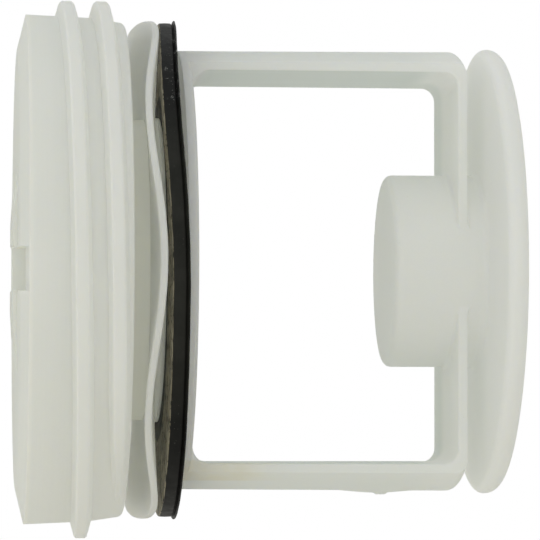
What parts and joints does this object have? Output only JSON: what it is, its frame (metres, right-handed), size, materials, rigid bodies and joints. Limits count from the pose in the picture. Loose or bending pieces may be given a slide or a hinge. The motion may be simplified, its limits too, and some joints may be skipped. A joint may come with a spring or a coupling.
{
  "type": "washer pump filter",
  "caption": "Screw-in drain pump filter: threaded cap, wavy ring and rubber seal ahead of an open rectangular frame with a round stub and end disc that catch lint and coins.",
  "frame": {"origin": "on the filter's axis, at the level of the turning lugs it stands on", "axes": "+Z along the axis from the cap's outer face to the end disc; the two bars lie on +X and -X"},
  "size_m": [0.0678, 0.0678, 0.0617],
  "materials": {
    "white_plastic": "satin",
    "black_rubber": "matte"
  },
  "bodies": {
    "cap": {"screw_cap": "white_plastic"},
    "insert": {"filter_insert": "white_plastic", "gasket": "black_rubber", "wave_ring": "white_plastic"}
  },
  "joints": [
    {"name": "cap_turn", "type": "hinge", "parent": "cap", "child": "insert", "pos_m": [0, 0, 0.0156], "axis": [0, 0, 1], "continuous": true}
  ]
}
